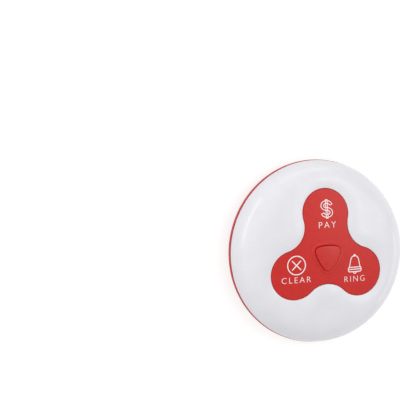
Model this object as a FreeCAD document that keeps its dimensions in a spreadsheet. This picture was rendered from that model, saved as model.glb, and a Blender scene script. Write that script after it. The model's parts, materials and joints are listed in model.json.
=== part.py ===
import FreeCAD, Part
import math
import os
import re
import Sketcher
from FreeCAD import Placement, Rotation, Vector

# Table call button: a round, coin-cell radio transmitter with three silicone keys.
# Frame: +Z out of the dome, +Y towards the pay key, +X to the right of it.
# The origin is on the table, under the middle of the case. Millimetres and degrees.

doc = FreeCAD.newDocument("CallButton")
sheet = doc.addObject("Spreadsheet::Sheet", "Sizes")

sizes = {
    # case
    "case_radius": 30.0,
    "foot_stand": 0.8,            # the foot holds the case this far off the table
    "base_depth": 4.4,            # underside to the seam
    "base_floor": 1.6,
    "band_height": 1.5,           # upright band of the base that shows below the cover
    "heel_radius": 1.6,           # round under the band
    "heel_slope": 35.0,           # rise of the underside's outer cone
    "cover_height": 10.3,         # seam to the virtual top of the dome
    "crown_radius": 143.0,
    "cover_wall": 1.8,
    "tongue_height": 1.2,         # base tongue that centres the cover
    "tongue_wall": 1.2,
    "tongue_gap": 0.2,
    # gasket between cover and base
    "gasket_width": 1.0,
    "gasket_depth": 0.5,
    # trefoil keypad opening
    "lobe_land_width": 9.0,       # cover left between a lobe's tip and the case's edge
    "lobe_radius": 8.0,
    "neck_radius": 8.2,           # hollow arcs that join the lobes
    "key_gap": 0.2,               # shadow gap between keys and cover
    "key_sink_depth": 0.8,        # keypad's middle below the virtual top of the dome
    "pad_dome_radius": 150.0,
    "collar_depth": 1.95,         # dome at the keypad flange's edge to the cover's collar face
    "collar_width": 1.6,
    "trim_height": 1.0,           # blocks stand this much too tall before a dome trims them
    "cutter_length": 80.0,        # cutting outlines run out well past the case
    "flange_thickness": 0.9,
    "flange_width": 2.0,
    "spoke_width": 1.6,           # fixed silicone webs between the keys
    "part_gap": 0.25,             # slit between a key and the fixed silicone
    "key_relief": 0.5,            # keys' underside above the flange's underside
    "plunger_radius": 1.5,
    "contact_gap": 0.1,           # plunger above the switch stem at rest
    # indicator window
    "window_drop": 0.9,           # window's middle off the case's, away from the pay key
    "window_corner_offset": 3.25, # window's middle to a tip's centre
    "window_corner_radius": 1.5,
    "window_side_radius": 14.0,
    "window_rim": 1.1,
    "rim_rise": 0.45,             # silicone rim above the keypad's middle
    "lens_dome_radius": 40.0,
    "lens_ledge": 0.7,            # foot of the lens that the rim holds down
    "lens_ledge_height": 0.8,
    "lens_gap": 0.05,
    "light_pipe_radius": 1.6,
    # keypad frame
    "frame_inset": 1.2,           # frame's edge inside the board's edge
    "frame_thickness": 1.2,
    "frame_gap": 0.6,             # frame's opening outside the keys' outline
    "leg_inset": 2.0,             # leg's middle inside the frame's edge
    "leg_radius": 1.4,
    # main board
    "board_gap": 1.0,             # board inside the base tongue
    "board_thickness": 1.0,
    "board_post_inset": 3.4,      # post's middle inside the board's edge
    "board_post_radius": 2.2,
    "board_screw_radius": 1.0,
    "board_screw_length": 4.0,
    "board_screw_head_radius": 1.9,
    "board_screw_head_height": 1.2,
    # cover screws and their bosses
    "boss_radius": 2.8,
    "boss_gap": 0.4,              # board and frame clear the bosses
    "post_radius": 3.1,
    "post_height": 2.0,           # base floor to the top of the cover posts
    "screw_radius": 1.1,
    "screw_length": 7.0,
    "screw_head_radius": 2.0,
    "screw_head_height": 1.3,
    "head_sink_depth": 0.4,       # heads lie this far above the foot
    "screw_hole_gap": 0.15,
    "pilot_gap": 0.03,
    "pilot_length": 0.6,
    "cross_width": 0.6,
    "cross_depth": 0.7,
    # tact switches
    "switch_offset": 1.0,         # switch outside the lobe's middle
    "switch_width": 6.0,
    "switch_base_height": 1.9,
    "switch_cover_thickness": 0.25,
    "switch_total": 3.1,          # board to the top of the stem
    "stem_radius": 1.7,
    "stem_gap": 0.1,
    "stem_travel": 0.35,
    "dome_radius": 1.5,
    "dome_thickness": 0.1,
    "switch_floor": 0.5,
    "pin_width": 0.7,
    "pin_length": 1.4,
    "pin_thickness": 0.2,
    "pin_spacing": 4.5,
    # electronics
    "led_length": 3.5,
    "led_width": 2.8,
    "led_height": 1.6,
    "led_pipe_gap": 0.3,
    "chip_length": 5.0,
    "chip_width": 4.0,
    "chip_height": 1.5,
    "chip_inset": 9.8,            # chip's middle inside the board's edge
    "leads_per_side": 4,
    "lead_pitch": 1.27,
    "lead_width": 0.45,
    "lead_length": 1.0,
    "lead_thickness": 0.25,
    "can_width": 5.0,
    "can_height": 1.5,
    "can_inset": 9.8,
    "can_corner": 0.6,
    "transistor_length": 2.9,
    "transistor_width": 1.4,
    "transistor_height": 1.0,
    "transistor_inset": 5.3,
    "transistor_angle": 12.0,
    "chip_part_length": 2.0,
    "chip_part_width": 1.25,
    "chip_part_height": 0.6,
    "chip_part_gap": 0.8,         # inside the switches' pins
    "chip_part_count": 9,
    "antenna_inset": 0.9,         # wire's middle inside the board's edge
    "antenna_wire": 0.4,
    "antenna_sweep": 200.0,
    "antenna_start": 130.0,
    # coin cell and its holder
    "cell_radius": 10.0,
    "cell_height": 3.2,
    "cell_cap_radius": 8.8,
    "cell_cap_height": 0.4,
    "cell_side_gap": 0.15,
    "cell_play_gap": 0.2,         # between the cell and the door
    "cell_proud_height": 0.4,     # cell below the holder's lower edge
    "holder_wall": 1.4,
    "holder_roof": 0.5,
    "holder_gap": 0.45,           # holder to the door's screw wall
    "spring_width": 3.0,
    "spring_length": 14.0,
    "spring_touch_length": 2.8,   # flat end that lies on the cell
    "spring_thickness": 0.2,
    "clip_width": 4.0,
    "clip_thickness": 0.3,
    "clip_slot_gap": 0.2,
    # screw-in battery door
    "door_thickness": 1.5,
    "door_flange_width": 1.3,
    "door_flange_thickness": 0.8,
    "door_flange_gap": 0.15,
    "door_wall": 1.3,
    "door_wall_height": 2.1,      # above the door's inner face
    "bore_gap": 0.1,
    "bore_wall": 1.8,
    "bore_height": 2.4,           # above the base floor
    "coin_slot_length": 15.0,
    "coin_slot_width": 2.0,
    "coin_slot_depth": 0.8,
    "seal_wire": 0.34,
    "seal_gap": 0.05,
    "seal_lift": 1.4,             # underside to the middle of the seal
    # foot
    "foot_inset": 1.6,            # foot's inner edge outside the door
    "foot_outer_radius": 22.0,
    "foot_recess": 0.4,
}

# lengths that follow from the sizes above
derived = {
    "seam_level": "foot_stand + base_depth",
    "band_level": "seam_level - band_height",
    "floor_level": "foot_stand + base_floor",
    "crown_level": "seam_level + cover_height",
    "crown_centre": "crown_level - crown_radius",
    "shoulder_radius": "(2 * cover_height * crown_radius - case_radius^2 - cover_height^2)"
                       " / (2 * (crown_radius - case_radius))",
    "shoulder_reach": "case_radius - shoulder_radius",
    "shoulder_share": "1 / (crown_radius - shoulder_radius)",
    "inner_radius": "case_radius - cover_wall",
    "pad_level": "crown_level - key_sink_depth",
    "pad_centre": "pad_level - pad_dome_radius",
    "flange_reach": "lobe_reach + lobe_radius + key_gap + flange_width",
    "collar_level": "crown_centre + sqrt(crown_radius^2 - flange_reach^2) - collar_depth",
    "flange_level": "collar_level - flange_thickness",
    "key_level": "flange_level + key_relief",
    "frame_level": "flange_level - frame_thickness",
    "board_level": "cell_level + cell_height + holder_roof",
    "board_top": "board_level + board_thickness",
    "stem_top": "board_top + switch_total",
    "plunger_level": "stem_top + contact_gap",
    "rim_level": "pad_level + rim_rise",
    "lobe_reach": "case_radius - lobe_land_width - lobe_radius",
    "neck_reach": "lobe_reach / 2 + sqrt((lobe_radius + neck_radius)^2 - 0.75 * lobe_reach^2)",
    "post_level": "floor_level + post_height",
    "door_level": "foot_stand + door_thickness",
    "bore_radius": "door_radius + bore_gap",
    "cell_level": "door_level + cell_play_gap",
    "holder_radius": "cell_radius + cell_side_gap",
    "holder_level": "cell_level + cell_proud_height",
    "door_radius": "holder_radius + holder_wall + holder_gap + door_wall",
    "door_flange_radius": "door_radius + door_flange_width",
    "foot_inner_radius": "door_flange_radius + foot_inset",
    "tongue_radius": "inner_radius - tongue_gap",
    "board_radius": "tongue_radius - tongue_wall - board_gap",
    "board_post_reach": "board_radius - board_post_inset",
    "frame_radius": "board_radius - frame_inset",
    "leg_reach": "frame_radius - leg_inset",
    "antenna_ring": "board_radius - antenna_inset",
    "switch_reach": "lobe_reach + switch_offset",
    "boss_reach": "(door_flange_radius + door_flange_gap + screw_head_radius + screw_hole_gap"
                  " + frame_radius - boss_radius - boss_gap) / 2",   # midway from door to frame's edge
    "chip_reach": "board_radius - chip_inset",
    "can_reach": "board_radius - can_inset",
    "transistor_reach": "board_radius - transistor_inset",
    "chip_part_ring": "switch_reach - switch_width / 2 - pin_length - chip_part_gap - chip_part_width / 2",
    "cavity_level": "board_top + switch_floor",
    "screw_seat": "foot_stand + foot_recess + head_sink_depth + screw_head_height",
}

for row, (alias, number) in enumerate(sizes.items(), start=1):
    sheet.set(f"A{row}", alias)
    sheet.set(f"B{row}", str(number))
    sheet.setAlias(f"B{row}", alias)
doc.recompute()


def bound(formula):
    """The formula as an expression in which every size points at its cell."""
    def cell(match):
        word = match.group(0)
        if word in derived:
            return f"({bound(derived[word])})"
        return f"Sizes.{word}" if word in sizes else word
    return re.sub(r"[A-Za-z_]\w*", cell, str(formula))


def value(formula):
    return float(sheet.evalExpression(bound(formula)))


# ---- sketches ----

def origin_feature(body, role):
    return next(feature for feature in body.Origin.OriginFeatures if feature.Role == role)


def new_body(label):
    body = doc.addObject("PartDesign::Body", label)
    body.Label = label
    return body


def new_sketch(body, name, plane="XY_Plane", level=None):
    sketch = body.newObject("Sketcher::SketchObject", name)
    sketch.AttachmentSupport = [(origin_feature(body, plane), "")]
    sketch.MapMode = "FlatFace"
    if level is not None:
        sketch.setExpression("AttachmentOffset.Base.z", bound(level))
    return sketch


def limit(sketch, constraint, formula):
    index = sketch.addConstraint(constraint)
    sketch.setExpression(f"Constraints[{index}]", bound(formula))


def pin(sketch, edge, end, across, up):
    """Hold one point of the sketch at a place given by two formulas."""
    for kind, axis, formula in (("DistanceX", -2, across), ("DistanceY", -1, up)):
        place = value(formula)
        if abs(place) < 1e-9:
            sketch.addConstraint(Sketcher.Constraint("PointOnObject", edge, end, axis))
        elif place > 0:
            limit(sketch, Sketcher.Constraint(kind, -1, 1, edge, end, place), formula)
        else:
            limit(sketch, Sketcher.Constraint(kind, edge, end, -1, 1, -place), f"-({formula})")


def arc_between(start, stop, radius, turn):
    """Short arc between two points; turn is 1 counter-clockwise and -1 clockwise."""
    chord = stop - start
    middle = (start + stop) * 0.5
    rise = math.sqrt(max(radius ** 2 - chord.Length ** 2 / 4, 0))
    left = Vector(-chord.y, chord.x, 0).normalize()
    centre = middle + left * rise * turn
    first, last = (start, stop) if turn > 0 else (stop, start)
    angles = [math.atan2(point.y - centre.y, point.x - centre.x) for point in (first, last)]
    if angles[1] < angles[0]:
        angles[1] += 2 * math.pi
    return Part.ArcOfCircle(Part.Circle(centre, Vector(0, 0, 1), radius), *angles)


def closed_outline(sketch, corners, arcs=None):
    """Outline through corners given as formulas. arcs[i] = (radius, turn) rounds the side
    that starts at corner i."""
    arcs = arcs or {}
    points = [Vector(value(across), value(up), 0) for across, up in corners]
    ends = []
    for i, start in enumerate(points):
        stop = points[(i + 1) % len(points)]
        if i in arcs:
            radius, turn = arcs[i]
            edge = sketch.addGeometry(arc_between(start, stop, value(radius), turn), False)
            ends.append((edge, 1, 2) if turn > 0 else (edge, 2, 1))
        else:
            edge = sketch.addGeometry(Part.LineSegment(start, stop), False)
            ends.append((edge, 1, 2))
    for i, (edge, first, last) in enumerate(ends):
        following = ends[(i + 1) % len(ends)]
        sketch.addConstraint(Sketcher.Constraint("Coincident", edge, last, following[0], following[1]))
    for i, (edge, first, last) in enumerate(ends):
        pin(sketch, edge, first, *corners[i])
        if i in arcs:
            radius = arcs[i][0]
            limit(sketch, Sketcher.Constraint("Radius", edge, value(radius)), radius)


def rectangle(sketch, left, low, right, high):
    closed_outline(sketch, [(left, low), (right, low), (right, high), (left, high)])


def circle(sketch, radius, across="0", up="0"):
    centre = Vector(value(across), value(up), 0)
    edge = sketch.addGeometry(Part.Circle(centre, Vector(0, 0, 1), value(radius)), False)
    if value(across) == 0 and value(up) == 0:
        sketch.addConstraint(Sketcher.Constraint("Coincident", edge, 3, -1, 1))
    else:
        pin(sketch, edge, 3, across, up)
    limit(sketch, Sketcher.Constraint("Radius", edge, value(radius)), radius)


def three_lobed(sketch, reach, tip_radius, side_radius, first_tip, hollow, middle=("0", "0")):
    """Outline of three equal tips and three equal sides, all arcs that run into each other.
    reach is the outline's middle to a tip arc's centre; hollow sides curve inwards."""
    tip, side, arm = value(tip_radius), value(side_radius), value(reach)
    shift = Vector(value(middle[0]), value(middle[1]), 0)
    half = math.sqrt(3) / 2 * arm
    if hollow:
        side_reach = arm / 2 + math.sqrt((tip + side) ** 2 - half ** 2)
    else:
        side_reach = arm / 2 - math.sqrt((side - tip) ** 2 - half ** 2)
    edges = []
    for i in range(3):
        tip_angle = math.radians(first_tip + 120 * i)
        centre = shift + Vector(arm * math.cos(tip_angle), arm * math.sin(tip_angle), 0)
        joints = []
        side_centres = []
        for turn in (-60, 60):
            angle = tip_angle + math.radians(turn)
            side_centre = shift + Vector(side_reach * math.cos(angle), side_reach * math.sin(angle), 0)
            side_centres.append(side_centre)
            away = side_centre - centre if hollow else centre - side_centre
            joints.append(math.atan2(away.y, away.x))
        if joints[1] < joints[0]:
            joints[1] += 2 * math.pi
        edges.append(sketch.addGeometry(
            Part.ArcOfCircle(Part.Circle(centre, Vector(0, 0, 1), tip), *joints), False))
        next_angle = math.radians(first_tip + 120 * (i + 1))
        next_centre = shift + Vector(arm * math.cos(next_angle), arm * math.sin(next_angle), 0)
        side_centre = side_centres[1]
        rays = [(centre - side_centre), (next_centre - side_centre)]
        if hollow:
            rays.reverse()
        spans = [math.atan2(ray.y, ray.x) for ray in rays]
        if spans[1] < spans[0]:
            spans[1] += 2 * math.pi
        edges.append(sketch.addGeometry(
            Part.ArcOfCircle(Part.Circle(side_centre, Vector(0, 0, 1), side), *spans), False))
    side_ends = (2, 1) if hollow else (1, 2)
    for i in range(3):
        tip_edge, side_edge = edges[2 * i], edges[2 * i + 1]
        next_tip = edges[(2 * i + 2) % 6]
        sketch.addConstraint(Sketcher.Constraint("Tangent", tip_edge, 2, side_edge, side_ends[0]))
        sketch.addConstraint(Sketcher.Constraint("Tangent", side_edge, side_ends[1], next_tip, 1))
        angle = first_tip + 120 * i
        pin(sketch, tip_edge, 3, f"{middle[0]} + {reach} * cos({angle} deg)",
            f"{middle[1]} + {reach} * sin({angle} deg)")
        limit(sketch, Sketcher.Constraint("Radius", tip_edge, tip), tip_radius)
        limit(sketch, Sketcher.Constraint("Radius", side_edge, side), side_radius)


def trefoil(sketch, margin):
    """Keypad outline, grown outwards by a margin. One lobe points along +Y."""
    three_lobed(sketch, "lobe_reach", f"lobe_radius + ({margin})", f"neck_radius - ({margin})",
                KEY_ANGLES["pay"], True)


def window(sketch, margin, body_turn=0):
    """Indicator outline, grown outwards by a margin. Its tips point between the lobes.
    body_turn is the angle that the sketch's body is set round by, a multiple of 120."""
    middle = f"-window_drop * sin({body_turn} deg)", f"-window_drop * cos({body_turn} deg)"
    three_lobed(sketch, "window_corner_offset", f"window_corner_radius + ({margin})",
                f"window_side_radius + ({margin})", WINDOW_ANGLE, False, middle)


# ---- features ----

def feature(body, kind, name, sketch):
    made = body.newObject(kind, name)
    made.Profile = sketch
    return made


def revolve(body, sketch, name, cut=False):
    made = feature(body, "PartDesign::Groove" if cut else "PartDesign::Revolution", name, sketch)
    made.ReferenceAxis = (sketch, ["V_Axis"])
    made.Angle = 360
    return made


def pad(body, sketch, name, length):
    made = feature(body, "PartDesign::Pad", name, sketch)
    made.setExpression("Length", bound(length))
    return made


def pocket(body, sketch, name, depth, upwards=True):
    """Cut from the sketch's level, upwards or downwards."""
    made = feature(body, "PartDesign::Pocket", name, sketch)
    made.setExpression("Length", bound(depth))
    made.Reversed = upwards
    return made


def around(body, originals, name, copies=3):
    """Repeat features evenly about the upright axis."""
    made = body.newObject("PartDesign::PolarPattern", name)
    made.Originals = originals
    made.Axis = (origin_feature(body, "Z_Axis"), [""])
    made.Angle = 360
    made.Occurrences = copies
    body.Tip = made
    return made


def at_polar(reach, angle):
    return f"{reach} * cos({angle} deg)", f"{reach} * sin({angle} deg)"


KEY_ANGLES = {"pay": 90, "clear": 210, "ring": 330}
WINDOW_ANGLE = 30    # the window's first tip, between two keys
BOSS_ANGLE = 30      # the first of three cover screws, between two keys
POST_ANGLE = 90      # the first of three board screws, behind a key's tip
LEG_ANGLE = 60       # the first of three frame legs


def dome_profile(sketch, wall, above=False):
    """Half section under the dome surface, drawn a wall inside it and closed on the axis,
    or the half section of everything above that surface."""
    tangent = f"shoulder_reach * (crown_radius - {wall}) * shoulder_share"
    tangent_level = f"crown_centre + (crown_radius - {wall}) * (seam_level - crown_centre) * shoulder_share"
    surface = [(f"case_radius - {wall}", "seam_level"), (tangent, tangent_level),
               ("0", f"crown_level - {wall}")]
    rounds = (f"shoulder_radius - {wall}", 1), (f"crown_radius - {wall}", 1)
    if above:
        high = "crown_level + cutter_length"
        closed_outline(sketch, surface + [("0", high), (surface[0][0], high)], {0: rounds[0], 1: rounds[1]})
    else:
        closed_outline(sketch, [("0", "seam_level")] + surface, {1: rounds[0], 2: rounds[1]})


def above_surface(sketch, level, centre, radius, reach):
    """Half section of everything above a domed surface, out to a reach."""
    edge_level = f"{centre} + sqrt(({radius})^2 - ({reach})^2)"
    high = f"{level} + cutter_length"
    corners = [("0", level), (reach, edge_level), (reach, high), ("0", high)]
    closed_outline(sketch, corners, {0: (radius, -1)})


# ---- case ----

def make_top_cover():
    body = new_body("top_cover")
    outside = new_sketch(body, "CoverSection", "XZ_Plane")
    dome_profile(outside, "0")
    revolve(body, outside, "CoverDome")
    inside = new_sketch(body, "CoverHollow", "XZ_Plane")
    dome_profile(inside, "cover_wall")
    revolve(body, inside, "CoverInside", cut=True)
    collar = new_sketch(body, "CollarOutline", level="collar_level")
    trefoil(collar, "key_gap + collar_width")
    pad(body, collar, "Collar", "crown_level - collar_level + trim_height")
    boss = new_sketch(body, "BossOutline", level="post_level")
    circle(boss, "boss_radius", *at_polar("boss_reach", BOSS_ANGLE))
    around(body, [pad(body, boss, "Boss", "crown_level - post_level")], "Bosses")
    trim = new_sketch(body, "AboveDome", "XZ_Plane")
    dome_profile(trim, "0", above=True)
    revolve(body, trim, "FlushTop", cut=True)
    opening = new_sketch(body, "KeypadOpening", level="post_level")
    trefoil(opening, "key_gap")
    pocket(body, opening, "Opening", "cover_height + base_depth")
    pilot = new_sketch(body, "PilotHole", level="post_level")
    circle(pilot, "screw_radius + pilot_gap", *at_polar("boss_reach", BOSS_ANGLE))
    hole = pocket(body, pilot, "Pilot", "screw_seat + screw_length + pilot_length - post_level")
    around(body, [hole], "Pilots")


def make_base_shell():
    body = new_body("base_shell")
    section = new_sketch(body, "BaseSection", "XZ_Plane")
    heel_end = "case_radius - heel_radius + heel_radius * sin(heel_slope * 1 deg)"
    heel_level = "band_level - heel_radius * cos(heel_slope * 1 deg)"
    cone_end = f"{heel_end} - ({heel_level} - foot_stand) / tan(heel_slope * 1 deg)"
    closed_outline(section, [
        ("bore_radius", "foot_stand"), (cone_end, "foot_stand"), (heel_end, heel_level),
        ("case_radius", "band_level"), ("case_radius", "seam_level"), ("tongue_radius", "seam_level"),
        ("tongue_radius", "seam_level + tongue_height"),
        ("tongue_radius - tongue_wall", "seam_level + tongue_height"),
        ("tongue_radius - tongue_wall", "floor_level"), ("bore_radius + bore_wall", "floor_level"),
        ("bore_radius + bore_wall", "floor_level + bore_height"),
        ("bore_radius", "floor_level + bore_height"),
    ], {2: ("heel_radius", 1)})
    revolve(body, section, "BaseTray")
    groove = new_sketch(body, "GasketGroove", "XZ_Plane")
    rectangle(groove, "inner_radius", "seam_level - gasket_depth", "inner_radius + gasket_width",
              "seam_level + gasket_depth")
    revolve(body, groove, "GasketSeat", cut=True)
    counterbore = new_sketch(body, "DoorSeat", "XZ_Plane")
    rectangle(counterbore, "door_radius - door_wall", "0", "door_flange_radius + door_flange_gap",
              "foot_stand + door_flange_thickness + door_flange_gap")
    revolve(body, counterbore, "DoorCounterbore", cut=True)
    recess = new_sketch(body, "FootRecess", "XZ_Plane")
    rectangle(recess, "foot_inner_radius - part_gap", "0", "foot_outer_radius + part_gap",
              "foot_stand + foot_recess")
    revolve(body, recess, "FootSeat", cut=True)
    for name, reach, radius, angle, top in (
            ("CoverPost", "boss_reach", "post_radius", BOSS_ANGLE, "post_level"),
            ("BoardPost", "board_post_reach", "board_post_radius", POST_ANGLE, "board_level")):
        outline = new_sketch(body, name + "Outline", level="foot_stand + foot_recess")
        circle(outline, radius, *at_polar(reach, angle))
        post = pad(body, outline, name, f"{top} - foot_stand - foot_recess")
        around(body, [post], name + "s")
    head = new_sketch(body, "HeadSeat", level="0")
    circle(head, "screw_head_radius + screw_hole_gap", *at_polar("boss_reach", BOSS_ANGLE))
    around(body, [pocket(body, head, "HeadHole", "screw_seat")], "HeadHoles")
    shank = new_sketch(body, "ShankHoleOutline", level="0")
    circle(shank, "screw_radius + screw_hole_gap", *at_polar("boss_reach", BOSS_ANGLE))
    around(body, [pocket(body, shank, "ShankHole", "post_level")], "ShankHoles")
    pilot = new_sketch(body, "BoardPilotOutline", level="floor_level")
    circle(pilot, "board_screw_radius + pilot_gap", *at_polar("board_post_reach", POST_ANGLE))
    around(body, [pocket(body, pilot, "BoardPilot", "board_level - floor_level")], "BoardPilots")


def make_ring(label, inner, low, outer, high):
    body = new_body(label)
    section = new_sketch(body, label + "_section", "XZ_Plane")
    rectangle(section, inner, low, outer, high)
    revolve(body, section, label + "_ring")
    return body


# ---- keypad ----

def wedge(sketch, angle, margin):
    """The third of the case around one key, kept a margin inside the lines between keys."""
    apex = f"({margin}) / sin(60 deg)"
    corners = [at_polar(apex, angle)]
    for turn in (-60, 60):
        across, up = at_polar("cutter_length", angle + turn)
        shift_across, shift_up = at_polar(apex, angle)
        corners.append((f"{across} + {shift_across}", f"{up} + {shift_up}"))
    closed_outline(sketch, corners)


def make_keypad_membrane():
    """Flange, three spokes and the rim round the window: the silicone that stays still."""
    body = new_body("keypad_membrane")
    top = new_sketch(body, "PadOutline", level="key_level")
    trefoil(top, "0")
    pad(body, top, "PadBlock", "crown_level - key_level")
    trim = new_sketch(body, "AbovePad", "XZ_Plane")
    above_surface(trim, "pad_level", "pad_centre", "pad_dome_radius", "case_radius")
    revolve(body, trim, "PadDome", cut=True)
    cut = new_sketch(body, "KeySpace", level="0")
    wedge(cut, 90, "spoke_width / 2")
    around(body, [pocket(body, cut, "KeyCut", "crown_level + key_relief")], "KeyCuts")
    spokes = new_sketch(body, "SpokeOutline", level="flange_level")
    waist = "neck_reach - neck_radius + key_gap + flange_width / 2"
    rectangle(spokes, "-spoke_width / 2", f"-({waist})", "spoke_width / 2", "0")
    around(body, [pad(body, spokes, "Spoke", "flange_thickness")], "Spokes")
    hub = new_sketch(body, "HubOutline", level="flange_level")
    window(hub, "window_rim")
    pad(body, hub, "Hub", "rim_level - flange_level")
    flange = new_sketch(body, "FlangeOutline", level="flange_level")
    trefoil(flange, "key_gap + flange_width")
    trefoil(flange, "key_gap")
    pad(body, flange, "Flange", "flange_thickness")
    seat = new_sketch(body, "LensSeat", level="0")
    window(seat, "0")
    pocket(body, seat, "WindowHole", "crown_level + rim_rise")
    ledge = new_sketch(body, "LedgeSeat", level="0")
    window(ledge, "lens_ledge")
    pocket(body, ledge, "LedgeHole", "flange_level + lens_ledge_height")


def make_key(name, angle):
    """One lobe of the keypad with its plunger."""
    body = new_body(f"{name}_key")
    outline = new_sketch(body, f"{name}_outline", level="key_level")
    trefoil(outline, "0")
    pad(body, outline, f"{name}_block", "crown_level - key_level")
    trim = new_sketch(body, f"{name}_above", "XZ_Plane")
    above_surface(trim, "pad_level", "pad_centre", "pad_dome_radius", "case_radius")
    revolve(body, trim, f"{name}_dome", cut=True)
    sector = new_sketch(body, f"{name}_others", level="0")
    apex = "(spoke_width / 2 + part_gap) / sin(60 deg)"
    corners = [("0", apex)]
    for side_angle in (30, -45, 225, 150):      # all round the case except this key's third
        across, up = at_polar("cutter_length", side_angle)
        corners.append((across, f"{up} + {apex}"))
    closed_outline(sector, corners)
    pocket(body, sector, f"{name}_sector", "crown_level")
    middle = new_sketch(body, f"{name}_middle", level="0")
    window(middle, "window_rim + part_gap", angle - 90)
    pocket(body, middle, f"{name}_hub_space", "crown_level")
    plunger = new_sketch(body, f"{name}_plunger_outline", level="plunger_level")
    circle(plunger, "plunger_radius", "0", "switch_reach")
    pad(body, plunger, f"{name}_plunger", "key_level - plunger_level + key_relief")
    body.Placement = Placement(Vector(0, 0, 0), Rotation(Vector(0, 0, 1), angle - 90))


def make_indicator_lens():
    body = new_body("indicator_lens")
    outline = new_sketch(body, "LensOutline", level="flange_level")
    window(outline, "-lens_gap")
    pad(body, outline, "LensBlock", "crown_level - flange_level + rim_rise")
    ledge = new_sketch(body, "LensLedge", level="flange_level")
    window(ledge, "lens_ledge - lens_gap")
    pad(body, ledge, "Ledge", "lens_ledge_height - lens_gap")
    trim = new_sketch(body, "AboveLens", "XZ_Plane")
    reach = "window_drop + window_corner_offset + window_corner_radius + lens_ledge"
    above_surface(trim, "crown_level", "crown_level - lens_dome_radius", "lens_dome_radius", reach)
    revolve(body, trim, "LensDome", cut=True)
    pipe = new_sketch(body, "PipeOutline", level="board_top + led_height + led_pipe_gap")
    circle(pipe, "light_pipe_radius")
    pad(body, pipe, "LightPipe", "flange_level - board_top - led_height - led_pipe_gap")


def make_keypad_frame():
    """Stiff plate that presses the keypad's flange against the cover."""
    body = new_body("keypad_frame")
    plate = new_sketch(body, "FramePlate", level="frame_level")
    circle(plate, "frame_radius")
    trefoil(plate, "frame_gap")
    pad(body, plate, "Plate", "frame_thickness")
    leg = new_sketch(body, "LegOutline", level="board_top")
    circle(leg, "leg_radius", *at_polar("leg_reach", LEG_ANGLE))
    around(body, [pad(body, leg, "Leg", "frame_level - board_top")], "Legs")
    space = new_sketch(body, "BossSpace", level="frame_level")
    circle(space, "boss_radius + boss_gap", *at_polar("boss_reach", BOSS_ANGLE))
    around(body, [pocket(body, space, "BossHole", "frame_thickness")], "BossHoles")


# ---- board and switches ----

def make_main_board():
    body = new_body("main_board")
    disc = new_sketch(body, "BoardOutline", level="board_level")
    circle(disc, "board_radius")
    pad(body, disc, "Board", "board_thickness")
    for name, reach, radius, angle in (
            ("BossClearance", "boss_reach", "boss_radius + boss_gap", BOSS_ANGLE),
            ("ScrewClearance", "board_post_reach", "board_screw_radius + screw_hole_gap", POST_ANGLE)):
        outline = new_sketch(body, name + "Outline", level="board_level")
        circle(outline, radius, *at_polar(reach, angle))
        around(body, [pocket(body, outline, name, "board_thickness")], name + "s")


def compound_of(label, objects):
    compound = doc.addObject("Part::Compound", label)
    compound.Links = objects
    compound.Label = label


def group(label, builder, angles):
    """One node of separate equal solids, set round the case at the given angles."""
    bodies = []
    for i, angle in enumerate(angles):
        body = builder(f"{label}_{i + 1}")
        body.Placement = Placement(Vector(0, 0, 0), Rotation(Vector(0, 0, 1), angle))
        bodies.append(body)
    compound_of(label, bodies)


def switch_base(name):
    body = new_body(name)
    block = new_sketch(body, name + "_outline", level="board_top")
    rectangle(block, "switch_reach - switch_width / 2", "-switch_width / 2",
              "switch_reach + switch_width / 2", "switch_width / 2")
    pad(body, block, name + "_block", "switch_base_height")
    cavity = new_sketch(body, name + "_cavity", level="cavity_level")
    circle(cavity, "stem_radius + stem_gap", "switch_reach")
    pocket(body, cavity, name + "_well", "switch_base_height")
    return body


def switch_cover(name):
    body = new_body(name)
    plate = new_sketch(body, name + "_outline", level="board_top + switch_base_height")
    rectangle(plate, "switch_reach - switch_width / 2", "-switch_width / 2",
              "switch_reach + switch_width / 2", "switch_width / 2")
    circle(plate, "stem_radius + stem_gap", "switch_reach")
    pad(body, plate, name + "_plate", "switch_cover_thickness")
    return body


def switch_dome(name):
    body = new_body(name)
    disc = new_sketch(body, name + "_outline", level="cavity_level")
    circle(disc, "dome_radius", "switch_reach")
    pad(body, disc, name + "_disc", "dome_thickness")
    return body


def switch_pins(name):
    """Two solder pins on each side of one switch."""
    body = new_body(name)
    strip = new_sketch(body, name + "_outline", level="board_top")
    for side in ("pin_spacing / 2", "-pin_spacing / 2"):
        for edge, outer in (("switch_width / 2", "switch_width / 2 + pin_length"),
                            ("-switch_width / 2 - pin_length", "-switch_width / 2")):
            rectangle(strip, f"switch_reach + {edge}", f"{side} - pin_width / 2",
                      f"switch_reach + {outer}", f"{side} + pin_width / 2")
    pad(body, strip, name + "_pins", "pin_thickness")
    return body


def make_stem(name, angle):
    body = new_body(f"{name}_switch_stem")
    low = "cavity_level + dome_thickness + stem_travel + contact_gap"
    outline = new_sketch(body, f"{name}_stem_outline", level=low)
    circle(outline, "stem_radius", "0", "switch_reach")
    pad(body, outline, f"{name}_stem", f"stem_top - ({low})")
    body.Placement = Placement(Vector(0, 0, 0), Rotation(Vector(0, 0, 1), angle - 90))


def make_box(label, length, width, height, across, up, level, angle=0):
    """Block that stands on a level with its middle at across, up, turned about the middle of the case."""
    block = doc.addObject("Part::Box", label)
    block.Label = label
    for name, formula in (("Length", length), ("Width", width), ("Height", height)):
        block.setExpression(name, bound(formula))
    block.Placement = Placement(Vector(0, 0, 0), Rotation(Vector(0, 0, 1), angle))
    cosine, sine = f"cos({angle} deg)", f"sin({angle} deg)"
    left, low = f"({across} - ({length}) / 2)", f"({up} - ({width}) / 2)"
    block.setExpression("Placement.Base.x", bound(f"{left} * {cosine} - {low} * {sine}"))
    block.setExpression("Placement.Base.y", bound(f"{left} * {sine} + {low} * {cosine}"))
    block.setExpression("Placement.Base.z", bound(level))
    return block


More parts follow.
